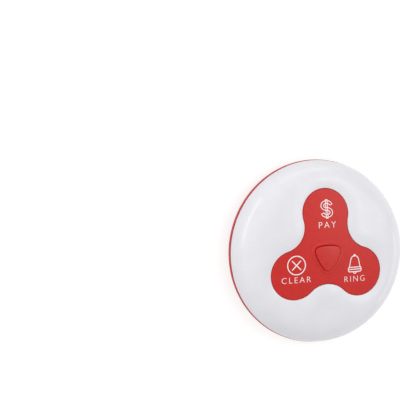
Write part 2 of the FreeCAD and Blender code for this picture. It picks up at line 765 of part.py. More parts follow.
def make_electronics():
    make_box("indicator_led", "led_length", "led_width", "led_height", "0", "0", "board_top")
    make_box("encoder_chip", "chip_width", "chip_length", "chip_height", "chip_reach", "0", "board_top")
    leads = []
    for side in (-1, 1):
        for i in range(int(sizes["leads_per_side"])):
            across = f"chip_reach + {side} * (chip_width + lead_length) / 2"
            up = f"({i} - (leads_per_side - 1) / 2) * lead_pitch"
            leads.append(make_box(f"lead_{len(leads) + 1}", "lead_length", "lead_width", "lead_thickness",
                                  across, up, "board_top"))
    compound_of("encoder_leads", leads)
    can = make_box("resonator_block", "can_width", "can_width", "can_height", "-can_reach", "0", "board_top")
    doc.recompute()
    rounded = doc.addObject("Part::Fillet", "resonator_can")
    rounded.Label = "resonator_can"
    rounded.Base = can
    upright = [i + 1 for i, edge in enumerate(can.Shape.Edges)
               if abs(edge.tangentAt(edge.FirstParameter).z) > 0.9]
    rounded.Edges = [(i, value("can_corner"), value("can_corner")) for i in upright]
    make_box("transistor", "transistor_length", "transistor_width", "transistor_height",
             "-transistor_reach", "0", "board_top", -sizes["transistor_angle"])
    parts = []
    count = int(sizes["chip_part_count"])
    for i in range(count):
        parts.append(make_box(f"chip_part_{i + 1}", "chip_part_width", "chip_part_length", "chip_part_height",
                              "chip_part_ring", "0", "board_top", 360 / count * (i + 0.5)))
    compound_of("chip_parts", parts)
    antenna = doc.addObject("Part::Torus", "loop_antenna")
    antenna.Label = "loop_antenna"
    antenna.setExpression("Radius1", bound("antenna_ring"))
    antenna.setExpression("Radius2", bound("antenna_wire"))
    antenna.setExpression("Angle3", bound("antenna_sweep"))
    antenna.Placement = Placement(Vector(0, 0, 0), Rotation(Vector(0, 0, 1), sizes["antenna_start"]))
    antenna.setExpression("Placement.Base.z", bound("board_top + antenna_wire"))


# ---- battery ----

def make_battery_holder():
    body = new_body("battery_holder")
    section = new_sketch(body, "HolderSection", "XZ_Plane")
    closed_outline(section, [
        ("holder_radius", "holder_level"), ("holder_radius + holder_wall", "holder_level"),
        ("holder_radius + holder_wall", "board_level"), ("0", "board_level"),
        ("0", "board_level - holder_roof"), ("holder_radius", "board_level - holder_roof"),
    ])
    revolve(body, section, "HolderCup")
    slot = new_sketch(body, "SpringSlot", level="board_level - holder_roof")
    rectangle(slot, "-spring_length / 2 - clip_slot_gap", "-spring_width / 2 - clip_slot_gap",
              "spring_length / 2 + clip_slot_gap", "spring_width / 2 + clip_slot_gap")
    pocket(body, slot, "SpringSpace", "holder_roof")
    notch = new_sketch(body, "ClipNotch", level="holder_level")
    rectangle(notch, "-holder_radius - clip_thickness - clip_slot_gap", "-clip_width / 2 - clip_slot_gap",
              "-cell_cap_radius", "clip_width / 2 + clip_slot_gap")
    pocket(body, notch, "ClipSpace", "board_level - holder_level")


def make_negative_spring():
    """Leaf on the board that presses on the cell's cap: a flat foot and a sloping tongue."""
    body = new_body("negative_spring")
    section = new_sketch(body, "SpringSection", "XZ_Plane")
    top = "board_level"
    touch = "cell_level + cell_height"
    half = "spring_length / 2"
    bend = "spring_length / 2 - spring_touch_length"
    closed_outline(section, [
        (f"-{half}", f"{top} - spring_thickness"), ("0", f"{top} - spring_thickness"),
        (bend, touch), (half, touch), (half, f"{touch} + spring_thickness"),
        (bend, f"{touch} + spring_thickness"), ("0", top), (f"-{half}", top),
    ])
    leaf = pad(body, section, "SpringLeaf", "spring_width")
    leaf.SideType = "Symmetric"


def make_coin_cell():
    body = new_body("coin_cell")
    section = new_sketch(body, "CellSection", "XZ_Plane")
    shoulder = "cell_level + cell_height - cell_cap_height"
    closed_outline(section, [
        ("0", "cell_level"), ("cell_radius", "cell_level"), ("cell_radius", shoulder),
        ("cell_cap_radius", shoulder), ("cell_cap_radius", "cell_level + cell_height"),
        ("0", "cell_level + cell_height"),
    ])
    revolve(body, section, "CellCan")


def make_battery_door():
    """Coin-slotted plug with a screw wall; its thread is drawn as a plain running fit."""
    body = new_body("battery_door")
    groove_depth = "seal_gap * 2 + seal_wire * 2 - bore_gap"
    section = new_sketch(body, "DoorSection", "XZ_Plane")
    seal_level = "foot_stand + seal_lift"
    closed_outline(section, [
        ("0", "foot_stand"), ("door_flange_radius", "foot_stand"),
        ("door_flange_radius", "foot_stand + door_flange_thickness"),
        ("door_radius", "foot_stand + door_flange_thickness"),
        ("door_radius", "door_level + door_wall_height"),
        ("door_radius - door_wall", "door_level + door_wall_height"),
        ("door_radius - door_wall", "door_level"), ("0", "door_level"),
    ])
    revolve(body, section, "DoorCup")
    groove = new_sketch(body, "SealGroove", "XZ_Plane")
    rectangle(groove, f"door_radius - ({groove_depth})", f"{seal_level} - seal_wire - seal_gap",
              "door_radius + bore_gap", f"{seal_level} + seal_wire + seal_gap")
    revolve(body, groove, "SealSeat", cut=True)
    slot = new_sketch(body, "CoinSlotOutline", level="foot_stand")
    rectangle(slot, "-coin_slot_length / 2", "-coin_slot_width / 2", "coin_slot_length / 2",
              "coin_slot_width / 2")
    pocket(body, slot, "CoinSlot", "coin_slot_depth")


def make_door_seal():
    seal = doc.addObject("Part::Torus", "door_seal")
    seal.Label = "door_seal"
    seal.setExpression("Radius1", bound("bore_radius - seal_gap - seal_wire"))
    seal.setExpression("Radius2", bound("seal_wire"))
    seal.setExpression("Placement.Base.z", bound("foot_stand + seal_lift"))


# ---- screws ----

def cover_screw(name):
    """Self-tapping screw that comes up from under the foot."""
    body = new_body(name)
    head = new_sketch(body, name + "_head_outline", level="screw_seat - screw_head_height")
    circle(head, "screw_head_radius", "boss_reach")
    pad(body, head, name + "_head", "screw_head_height")
    shank = new_sketch(body, name + "_shank_outline", level="screw_seat")
    circle(shank, "screw_radius", "boss_reach")
    pad(body, shank, name + "_shank", "screw_length")
    drive = new_sketch(body, name + "_drive", level="screw_seat - screw_head_height")
    rectangle(drive, "boss_reach - screw_radius", "-cross_width / 2", "boss_reach + screw_radius",
              "cross_width / 2")
    pocket(body, drive, name + "_slot", "cross_depth")
    return body


def board_screw(name):
    """Pan-head screw that comes down through the board."""
    body = new_body(name)
    head = new_sketch(body, name + "_head_outline", level="board_top")
    circle(head, "board_screw_head_radius", "board_post_reach")
    pad(body, head, name + "_head", "board_screw_head_height")
    shank = new_sketch(body, name + "_shank_outline", level="board_top - board_screw_length")
    circle(shank, "board_screw_radius", "board_post_reach")
    pad(body, shank, name + "_shank", "board_screw_length")
    drive = new_sketch(body, name + "_drive",
                       level="board_top + board_screw_head_height - cross_depth")
    rectangle(drive, "board_post_reach - board_screw_radius", "-cross_width / 2",
              "board_post_reach + board_screw_radius", "cross_width / 2")
    pocket(body, drive, name + "_slot", "cross_depth")
    return body


make_top_cover()
make_base_shell()
make_ring("cover_gasket", "inner_radius", "seam_level - gasket_depth", "inner_radius + gasket_width",
          "seam_level")
make_ring("foot_ring", "foot_inner_radius", "0", "foot_outer_radius", "foot_stand + foot_recess")
make_keypad_membrane()
make_indicator_lens()
make_keypad_frame()
make_main_board()
for key_name, key_angle in KEY_ANGLES.items():
    make_key(key_name, key_angle)
    make_stem(key_name, key_angle)
key_turns = list(KEY_ANGLES.values())
group("switch_bases", switch_base, key_turns)
group("switch_covers", switch_cover, key_turns)
group("switch_domes", switch_dome, key_turns)
group("switch_pins", switch_pins, key_turns)
make_electronics()
make_battery_holder()
make_negative_spring()
make_box("positive_clip", "clip_thickness", "clip_width", "board_level - holder_level - cell_proud_height",
         "-holder_radius - clip_thickness / 2", "0", "holder_level + cell_proud_height")
make_coin_cell()
make_battery_door()
make_door_seal()
group("cover_screws", cover_screw, [BOSS_ANGLE + 120 * i for i in range(3)])
group("board_screws", board_screw, [POST_ANGLE + 120 * i for i in range(3)])
doc.recompute()

# ---- check and write ----

NODES = [
    "top_cover", "base_shell", "cover_gasket", "foot_ring", "keypad_membrane", "pay_key", "clear_key",
    "ring_key", "indicator_lens", "keypad_frame", "main_board", "switch_bases", "switch_covers",
    "switch_domes", "switch_pins", "pay_switch_stem", "clear_switch_stem", "ring_switch_stem",
    "indicator_led", "encoder_chip", "encoder_leads", "resonator_can", "transistor", "chip_parts",
    "loop_antenna", "battery_holder", "negative_spring", "positive_clip", "coin_cell", "battery_door",
    "door_seal", "cover_screws", "board_screws",
]

failed = [item.Name for item in doc.Objects if "Invalid" in item.State or "Error" in item.State]
loose = [item.Name for item in doc.Objects
         if item.TypeId == "Sketcher::SketchObject" and not item.FullyConstrained]
if failed:
    raise RuntimeError(f"objects that failed to compute: {failed}")
if loose:
    raise RuntimeError(f"sketches that are not fully held: {loose}")

shapes = {}
for node in NODES:
    item = doc.getObjectsByLabel(node)[0]
    shape = item.Shape
    if shape.isNull() or not shape.isValid() or not shape.Solids:
        raise RuntimeError(f"{node} has no valid solid")
    shapes[node] = shape

os.makedirs("parts", exist_ok=True)
for node, shape in shapes.items():
    shape.exportStep(f"parts/{node}.step")
    box = shape.BoundBox
    print(f"{node}: {len(shape.Solids)} solid(s), {shape.Volume:.1f} mm3, x {box.XMin:.2f}..{box.XMax:.2f} "
          f"y {box.YMin:.2f}..{box.YMax:.2f} z {box.ZMin:.2f}..{box.ZMax:.2f}")
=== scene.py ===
import json
import math

import bmesh
import bpy
from mathutils import Matrix, Vector


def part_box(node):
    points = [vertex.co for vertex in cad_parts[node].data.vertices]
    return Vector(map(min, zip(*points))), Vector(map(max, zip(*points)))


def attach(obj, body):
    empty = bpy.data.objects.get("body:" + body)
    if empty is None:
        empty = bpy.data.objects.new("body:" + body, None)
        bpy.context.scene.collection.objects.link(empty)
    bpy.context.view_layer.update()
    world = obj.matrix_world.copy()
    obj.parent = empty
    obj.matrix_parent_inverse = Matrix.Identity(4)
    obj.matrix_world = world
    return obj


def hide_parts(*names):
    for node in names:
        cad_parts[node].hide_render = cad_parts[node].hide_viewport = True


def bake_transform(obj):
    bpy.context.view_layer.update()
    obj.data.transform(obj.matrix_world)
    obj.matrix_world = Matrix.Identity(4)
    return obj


# Table call button: glossy white dome, red base, one-piece silicone keypad with three keys.
# Lengths are in millimetres, and meshFrom scales each mesh to metres.

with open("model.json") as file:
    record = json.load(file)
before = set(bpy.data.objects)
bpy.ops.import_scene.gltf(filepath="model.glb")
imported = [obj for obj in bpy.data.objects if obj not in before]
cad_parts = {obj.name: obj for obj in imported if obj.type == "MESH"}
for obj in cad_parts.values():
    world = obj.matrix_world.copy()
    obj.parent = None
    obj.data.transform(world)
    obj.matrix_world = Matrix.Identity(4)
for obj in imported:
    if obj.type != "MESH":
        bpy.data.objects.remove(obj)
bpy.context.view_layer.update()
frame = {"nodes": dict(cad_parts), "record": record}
print("frame loaded:", len(frame["nodes"]), "nodes")

millimetre = 0.001
around = 288                           # divisions of a full turn
lobeStep = 120                         # degrees from one key to the next
creaseAngle = 40                       # degrees; flatter edges are shaded smooth
cornerAngle = 50                       # degrees; softenEdges rounds what is sharper
weldGap = 1e-5                         # points nearer than this after a spin are one
tinyLength = 1e-4                      # shorter lengths count as nothing

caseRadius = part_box("top_cover")[1].x / millimetre
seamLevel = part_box("cover_gasket")[1].z / millimetre
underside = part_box("base_shell")[0].z / millimetre

# A lobed outline has three lobes of radius "tip", with their centres "reach" out from the middle, and
# arcs of radius "side" between them, hollow or bulging. Its first lobe stands at "firstTip" degrees.
keypadForm = {"reach": 13.0, "tip": 8.0, "side": 8.2, "firstTip": 90, "hollow": True}
windowForm = {"reach": 3.25, "tip": 1.5, "side": 14.0, "firstTip": 30, "hollow": False}
windowDrop = 0.9                       # the window's middle off the case's, away from the pay key
crispSide = math.radians(150)          # turn to the window's upper left, where its edge is crisp
dome = {"height": 10.3, "crownRadius": 143.0, "wall": 1.8}
keypad = {
    "top": 14.7, "domeRadius": 150.0, "bottom": 11.255,
    "bendStart": 5.0,                  # along a key from the middle of the case: still up to here,
    "bendEnd": 9.0,                    # and moving with the key from here on
}
keyAngles = {"pay": 90, "clear": 210, "ring": 330}

# the dome is a flat crown and a tight shoulder that meet on a common slope
crownCentre = seamLevel + dome["height"] - dome["crownRadius"]
shoulderRadius = ((2 * dome["height"] * dome["crownRadius"] - caseRadius ** 2 - dome["height"] ** 2)
                  / (2 * (dome["crownRadius"] - caseRadius)))
shoulderReach = caseRadius - shoulderRadius
tangentSlope = math.asin(shoulderReach / (dome["crownRadius"] - shoulderRadius))


def lobedRadius(form, turn, margin=0.0):
    # distance from the middle to a lobed outline, grown by a margin
    sign = 1 if form["hollow"] else -1
    tip, side, arm = form["tip"] + margin, form["side"] - sign * margin, form["reach"]
    halfStep = math.radians(lobeStep / 2)
    sideReach = arm / 2 + sign * math.sqrt((side + sign * tip) ** 2 - (arm * math.sin(halfStep)) ** 2)
    off = abs((math.degrees(turn) - form["firstTip"] + lobeStep / 2) % lobeStep - lobeStep / 2)
    off = math.radians(off)
    across, up = sideReach / 2 - arm, sideReach * math.sin(halfStep)
    share = sign * tip / math.hypot(across, up)
    joint = math.atan2(up * share, arm + across * share)
    if off < joint:
        return arm * math.cos(off) + math.sqrt(max(tip ** 2 - (arm * math.sin(off)) ** 2, 0))
    rest = halfStep - off
    return sideReach * math.cos(rest) - sign * math.sqrt(side ** 2 - (sideReach * math.sin(rest)) ** 2)


def domeHeight(radius, wall=0.0):
    crown = dome["crownRadius"] - wall
    if radius < crown * math.sin(tangentSlope):
        return crownCentre + math.sqrt(crown ** 2 - radius ** 2)
    shoulder = shoulderRadius - wall
    return seamLevel + math.sqrt(max(shoulder ** 2 - (radius - shoulderReach) ** 2, 0))


def domeAt(startRadius, share, wall=0.0):
    # point a share of the way down the dome's side, from a radius to the seam, by length
    crown, shoulder = dome["crownRadius"] - wall, shoulderRadius - wall
    bend = crown * tangentSlope
    if startRadius < crown * math.sin(tangentSlope):
        start = crown * math.asin(startRadius / crown)
    else:
        start = bend + shoulder * (math.asin((startRadius - shoulderReach) / shoulder) - tangentSlope)
    end = bend + shoulder * (math.pi / 2 - tangentSlope)
    length = start + (end - start) * share
    if length < bend:
        slope = length / crown
        return crown * math.sin(slope), crownCentre + crown * math.cos(slope)
    slope = tangentSlope + (length - bend) / shoulder
    return shoulderReach + shoulder * math.sin(slope), seamLevel + shoulder * math.cos(slope)


def keypadHeight(radius):
    return keypad["top"] - keypad["domeRadius"] + math.sqrt(keypad["domeRadius"] ** 2 - radius ** 2)


def outlinePoint(turn, margin=0.0):
    radius = lobedRadius(keypadForm, turn, margin)
    return radius * math.cos(turn), radius * math.sin(turn)


def windowPoint(turn, margin=0.0):
    radius = lobedRadius(windowForm, turn, margin)
    return radius * math.cos(turn), radius * math.sin(turn) - windowDrop


def softSide(turn):
    # 0 at the window's upper left, 1 at its lower right, where its edge melts into the keypad
    share = 0.5 - 0.5 * math.cos(turn - crispSide)
    return share * share * (3 - 2 * share)


def between(first, last, share):
    return tuple(a + (b - a) * share for a, b in zip(first, last))


def shares(steps, first=1):
    # even shares of a length, the last of which is 1
    return [i / steps for i in range(first, steps + 1)]


def quarter(steps):
    return [math.pi / 2 * share for share in shares(steps, first=0)]


def arcPoints(centre, radius, first, last, steps):
    # from the first to the last angle, in degrees
    turns = [math.radians(first + (last - first) * i / steps) for i in range(steps + 1)]
    return [(centre[0] + radius * math.cos(turn), centre[1] + radius * math.sin(turn)) for turn in turns]


# A ring is a function of the turn that gives (radius, height) or (x, y, height).
def roundRing(radius, level):
    return lambda turn: (radius, level)


def outlineRing(margin, level):
    return lambda turn: (lobedRadius(keypadForm, turn, margin), level)


def sweepRings(rings, closed, count=around):
    # Each ring is extruded from the last. A closed sweep joins its last ring to its first, and an open
    # one gets a face at each end.
    bm = bmesh.new()
    turnLayer = bm.verts.layers.float.new("turn")
    verts = bmesh.ops.create_circle(bm, segments=count, radius=1.0)["verts"]
    for vert in verts:
        vert[turnLayer] = math.atan2(vert.co.y, vert.co.x)
    firstEdges = edges = bm.edges[:]
    for i, ring in enumerate(rings):
        if i:
            grown = bmesh.ops.extrude_edge_only(bm, edges=edges)["geom"]
            verts = {item for item in grown if isinstance(item, bmesh.types.BMVert)}
            edges = [item for item in grown
                     if isinstance(item, bmesh.types.BMEdge) and verts.issuperset(item.verts)]
        for vert in verts:
            turn = vert[turnLayer]
            place = ring(turn)
            if len(place) == 2:
                place = place[0] * math.cos(turn), place[0] * math.sin(turn), place[1]
            vert.co = place
    if closed:
        bmesh.ops.bridge_loops(bm, edges=firstEdges + edges)
    else:
        bmesh.ops.edgeloop_fill(bm, edges=firstEdges)
        bmesh.ops.edgeloop_fill(bm, edges=edges)
    bmesh.ops.recalc_face_normals(bm, faces=bm.faces)
    return bm


def spinProfile(corners):
    # closed profile of (radius, height) corners, turned all the way round the upright axis
    bm = bmesh.new()
    verts = [bm.verts.new((radius, 0, height)) for radius, height in corners]
    edges = [bm.edges.new((verts[i], verts[(i + 1) % len(verts)])) for i in range(len(verts))]
    bmesh.ops.spin(bm, geom=verts + edges, cent=(0, 0, 0), axis=(0, 0, 1), angle=math.tau,
                   steps=around, use_merge=True, use_duplicate=False)
    bmesh.ops.remove_doubles(bm, verts=bm.verts, dist=weldGap)
    bmesh.ops.recalc_face_normals(bm, faces=bm.faces)
    return bm


def softenEdges(bm, width, segments):
    sharp = [edge for edge in bm.edges if len(edge.link_faces) == 2
             and edge.calc_face_angle(0) > math.radians(cornerAngle)]
    bmesh.ops.bevel(bm, geom=sharp, offset=width, offset_type="OFFSET", segments=segments, profile=0.5,
                    affect="EDGES", material=-1, clamp_overlap=True)
    bmesh.ops.dissolve_degenerate(bm, dist=tinyLength, edges=bm.edges)


def meshFrom(bm, name):
    bmesh.ops.scale(bm, vec=(millimetre,) * 3, verts=bm.verts)
    mesh = bpy.data.meshes.new(name)
    bm.to_mesh(mesh)
    bm.free()
    return mesh


def addObject(name, data):
    added = bpy.data.objects.new(name, data)
    bpy.context.scene.collection.objects.link(added)
    return added


def finishPiece(bm, name, finish, body=None, node=None):
    # a piece that stands for a CAD node has its finish under the name of that node's slot
    mesh = meshFrom(bm, name)
    mesh.shade_smooth()
    mesh.set_sharp_from_angle(angle=math.radians(creaseAngle))
    mesh.materials.append(finishes[finish])
    piece = addObject(name, mesh)
    if body:
        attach(piece, body)
    if node:
        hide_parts(node)
    return piece


def bendWithKey(piece):
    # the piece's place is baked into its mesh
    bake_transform(piece)


def hexColour(code):
    # sRGB hex to the linear colour that the shader takes
    parts = [int(code[i:i + 2], 16) / 255 for i in (0, 2, 4)]
    linear = [part / 12.92 if part <= 0.04045 else ((part + 0.055) / 1.055) ** 2.4 for part in parts]
    return (*linear, 1.0)


def addNode(tree, kind, settings=None, links=None):
    node = tree.nodes.new(kind)
    for key, value in (settings or {}).items():
        if isinstance(key, int) or key in node.inputs:
            node.inputs[key].default_value = value
        else:
            setattr(node, key, value)
    for key, socket in (links or {}).items():
        tree.links.new(socket, node.inputs[key])
    return node


def anyRay(tree, kinds):
    # 1 where the ray is of one of the kinds, else 0
    rays = addNode(tree, "ShaderNodeLightPath")
    found = rays.outputs[kinds[0]]
    for kind in kinds[1:]:
        found = addNode(tree, "ShaderNodeMath", {"operation": "MAXIMUM"},
                        {0: found, 1: rays.outputs[kind]}).outputs[0]
    return found


def newMaterial(name):
    material = bpy.data.materials.new(name)
    material.use_nodes = True
    tree = material.node_tree
    tree.nodes.clear()
    return material, tree, addNode(tree, "ShaderNodeOutputMaterial")


patternSizes = {"detail": 3.0, "rampStart": 0.35, "rampEnd": 0.65}


def patterned(name, colours, roughness, grain, bumpHeight, shader=None):
    # a noise of a real grain size in mm shifts the colour and roughness and raises fine bumps
    sizes = patternSizes
    material, tree, output = newMaterial(name)
    coords = addNode(tree, "ShaderNodeTexCoord").outputs["Object"]
    noise = addNode(tree, "ShaderNodeTexNoise",
                    {"Scale": 1 / (grain * millimetre), "Detail": sizes["detail"]}, {"Vector": coords})
    ramp = addNode(tree, "ShaderNodeValToRGB", {}, {"Fac": noise.outputs["Fac"]})
    ends = ramp.color_ramp.elements
    for end, position, colour in zip(ends, (sizes["rampStart"], sizes["rampEnd"]), colours):
        end.position, end.color = position, hexColour(colour)
    rough = addNode(tree, "ShaderNodeMapRange", {"To Min": roughness[0], "To Max": roughness[1]},
                    {"Value": noise.outputs["Fac"]})
    bump = addNode(tree, "ShaderNodeBump", {"Strength": 1.0, "Distance": bumpHeight * millimetre},
                   {"Height": noise.outputs["Fac"]})
    surface = addNode(tree, "ShaderNodeBsdfPrincipled", shader or {}, {
        "Base Color": ramp.outputs["Color"], "Roughness": rough.outputs["Result"],
        "Normal": bump.outputs["Normal"]})
    tree.links.new(surface.outputs["BSDF"], output.inputs["Surface"])
    return material


# Finishes by the record's slot: name, two colours, lowest and highest roughness, grain and bump height
# in mm, and other shader inputs. The printing ink is no slot of the record's. A grain that would be too
# fine to show is drawn coarser.
metal = {"Metallic": 1.0}
finishRows = {
    # moulded ABS from a polished tool: bright, even gloss with a barely uneven skin
    "white_abs": ("PolishedWhiteAbs", ("e8e7ec", "ebeaef"), (0.16, 0.21), 6.0, 0.010,
                  {"IOR": 1.54, "Specular IOR Level": 0.32}),
    # the same plastic from a satin tool, a little duller
    "red_abs": ("SatinRedAbs", ("b71b19", "bf211f"), (0.32, 0.40), 2.0, 0.006,
                {"IOR": 1.54, "Specular IOR Level": 0.4}),
    # spark-eroded tool: pits about 0.25 mm across, which hide scratches from a coin
    "door_abs": ("SparkTexturedRedAbs", ("b12725", "bc2d2a"), (0.50, 0.62), 0.25, 0.030, {"IOR": 1.54}),
    # liquid silicone rubber: soft satin
    "red_silicone": ("RedSilicone", ("ca221b", "d02620"), (0.34, 0.42), 1.4, 0.006,
                     {"IOR": 1.41, "Specular IOR Level": 0.5}),
    # slightly translucent polycarbonate in the keypad's red, smooth
    "red_lens": ("TintedRedLens", ("ca241d", "d02822"), (0.30, 0.38), 3.0, 0.003,
                 {"IOR": 1.58, "Specular IOR Level": 0.35, "Subsurface Weight": 0.1,
                  "Subsurface Scale": millimetre, "Subsurface Radius": (1.0, 0.25, 0.2)}),
    # screen-printed ink: flat white, a little thinner in spots
    "print_ink": ("WhitePrintInk", ("f8f0f2", "fdf9fa"), (0.55, 0.65), 0.4, 0.002),
    # closed-cell foam rubber: dead matt, with cells of about 0.4 mm
    "foot_foam": ("BlackFoamRubber", ("1c1c1e", "2c2c2e"), (0.85, 0.95), 0.4, 0.06, {"IOR": 1.5}),
    # solder mask on a glass laminate: smooth, half-glossy green
    "board_laminate": ("GreenSolderMask", ("0d4a26", "12602f"), (0.30, 0.38), 2.5, 0.004),
    # moulded nylon: dull black
    "black_nylon": ("MouldedBlackNylon", ("131314", "1b1b1d"), (0.50, 0.60), 0.5, 0.006),
    # moulded ABS without a dye: dull ivory
    "natural_abs": ("NaturalAbs", ("d8d5c8", "dfdccf"), (0.42, 0.50), 1.5, 0.006),
    # moulded epoxy: matt, nearly black, finely grained
    "chip_epoxy": ("ChipEpoxy", ("161617", "202022"), (0.55, 0.65), 0.15, 0.006),
    # fired ceramic: matt brown with fine specks
    "chip_ceramic": ("FiredCeramic", ("8a6b48", "9c7c56"), (0.45, 0.55), 0.2, 0.003),
    # moulded rubber: matt grey
    "grey_rubber": ("GreyRubber", ("57595c", "606367"), (0.70, 0.80), 0.5, 0.006),
    # moulded nitrile rubber: black with a faint sheen
    "seal_rubber": ("BlackNitrile", ("101011", "18181a"), (0.55, 0.65), 0.5, 0.004),
    # moulded nylon of the switch stems: dull, a little lighter than the holder's
    "stem_plastic": ("StemNylon", ("1d1d1f", "272729"), (0.40, 0.50), 0.4, 0.004),
    # cast epoxy, drawn opaque: glossy and pale yellow
    "led_body": ("ClearEpoxyLed", ("e6e0c8", "efead6"), (0.15, 0.22), 1.0, 0.002),
    # tin-plated steel: soft, slightly cloudy shine
    "tinned_steel": ("TinPlate", ("b9b9b7", "c4c4c2"), (0.26, 0.36), 0.3, 0.002, metal),
    # nickel-plated steel: a brighter and harder shine
    "cell_steel": ("NickelPlatedSteel", ("c6c5c2", "cfcecb"), (0.22, 0.30), 0.2, 0.002, metal),
    # zinc-plated steel: duller, with a tinge of blue
    "screw_steel": ("ZincPlatedSteel", ("a3a6ab", "b0b3b8"), (0.30, 0.40), 0.3, 0.003, metal),
    # enamelled copper: warm brown shine
    "copper_wire": ("EnamelledCopper", ("a3532c", "b26239"), (0.24, 0.32), 0.3, 0.002, metal),
}
finishes = {slot: patterned(*row) for slot, row in finishRows.items()}
print("materials made")

coverSizes = {
    "edgeRound": 0.15,                 # radius on the keypad opening's edge
    "seamRound": 0.25,
    "seamInset": 0.15,                 # the cover's rim stands this far inside the base's band
    "insetPower": 4,                   # how late the side leans in towards the rim
    "dishWidth": 4.6,                  # the dome dips towards the keypad over this width
    "dishDepth": 0.65,
    "sideLength": 14.0,                # about this much from the dish's end down to the seam
    "gap": 0.08,                       # opening outside the keypad's outline
    "collarWidth": 1.6,
    "collarLevel": 11.655,
    "bossRadius": 2.8,
    "bossReach": 19.15,
    "bossAngles": (30, 150, 270),
    "bossBelow": 0.8,                  # end below the seam
    "bossInto": 0.3,                   # root in the cover's wall
    "bossSegments": 48,
    "wallSteps": 3, "edgeSteps": 5, "dishSteps": 16, "sideSteps": 30, "seamSteps": 4, "innerSteps": 10,
}


def makeCover():
    sizes = coverSizes
    gap, edge, seam = sizes["gap"], sizes["edgeRound"], sizes["seamRound"]
    collar = gap + sizes["collarWidth"]
    bottom = sizes["collarLevel"]

    def surfaceAt(turn, margin):
        radius = lobedRadius(keypadForm, turn, margin)
        sink = max(1 - (margin - gap) / sizes["dishWidth"], 0.0) ** 2
        return radius, domeHeight(radius) - sizes["dishDepth"] * sink

    def wallRing(share):
        return lambda turn: (lobedRadius(keypadForm, turn, gap),
                             bottom + (surfaceAt(turn, gap + edge)[1] - edge - bottom) * share)

    def edgeRing(slope):
        return lambda turn: (lobedRadius(keypadForm, turn, gap + edge * (1 - math.cos(slope))),
                             surfaceAt(turn, gap + edge)[1] - edge * (1 - math.sin(slope)))

    def dishRing(share):
        return lambda turn: surfaceAt(turn, gap + edge + (sizes["dishWidth"] - edge) * share)

    def sideRing(share):
        def place(turn):
            radius, level = domeAt(lobedRadius(keypadForm, turn, gap + sizes["dishWidth"]), share)
            return radius - sizes["seamInset"] * share ** sizes["insetPower"], level
        return place

    def innerRing(share):
        return lambda turn: domeAt(lobedRadius(keypadForm, turn, collar), share, dome["wall"])

    seamShare = 1 - seam / sizes["sideLength"]
    rings = [wallRing(share) for share in shares(sizes["wallSteps"], first=0)[:-1]]
    rings += [edgeRing(slope) for slope in quarter(sizes["edgeSteps"])]
    rings += [dishRing(share) for share in shares(sizes["dishSteps"])]
    rings += [sideRing(seamShare * share) for share in shares(sizes["sideSteps"])]
    rings += [roundRing(caseRadius - sizes["seamInset"] - seam + radius, seamLevel + seam + level)
              for radius, level in arcPoints((0, 0), seam, 0, -90, sizes["seamSteps"])[1:]]
    rings += [innerRing(1 - share) for share in shares(sizes["innerSteps"], first=0)]
    rings += [outlineRing(collar, bottom)]
    bm = sweepRings(rings, closed=True)
    reach = sizes["bossReach"]
    low = seamLevel - sizes["bossBelow"]
    high = domeHeight(reach, dome["wall"]) + sizes["bossInto"]
    for angle in sizes["bossAngles"]:
        turn = math.radians(angle)
        place = Matrix.Translation((reach * math.cos(turn), reach * math.sin(turn), (low + high) / 2))
        bmesh.ops.create_cone(bm, cap_ends=True, segments=sizes["bossSegments"],
                              radius1=sizes["bossRadius"], radius2=sizes["bossRadius"],
                              depth=high - low, matrix=place)
    bmesh.ops.recalc_face_normals(bm, faces=bm.faces)
    finishPiece(bm, "cover_shell", "white_abs", "case", "top_cover")


makeCover()
print("cover made")

skinSizes = {
    "edgeRound": 0.35,                 # radius on the keys' upper edge
    "topMargins": (-1.2, -0.98, -0.76),    # last rings of the top, inside the outline
    "rimRise": 0.5,                    # soft ridge round the window
    "rimMiddle": 0.5,                  # ridge's crest outside the window's outline
    "rimHalf": 0.7,
    "rimSoft": 0.6,                    # share of the ridge that is lost on the window's soft side
    "rimEnd": 1.6,
    "rimSpread": 1.2,                  # above 1, the ridge's rings crowd towards the window
    "windowLip": 0.2,                  # depth of the step down to the window
    "wallSteps": 3, "rimSteps": 16, "topSteps": 24, "edgeSteps": 6, "sideSteps": 4, "lowSteps": 8,
}


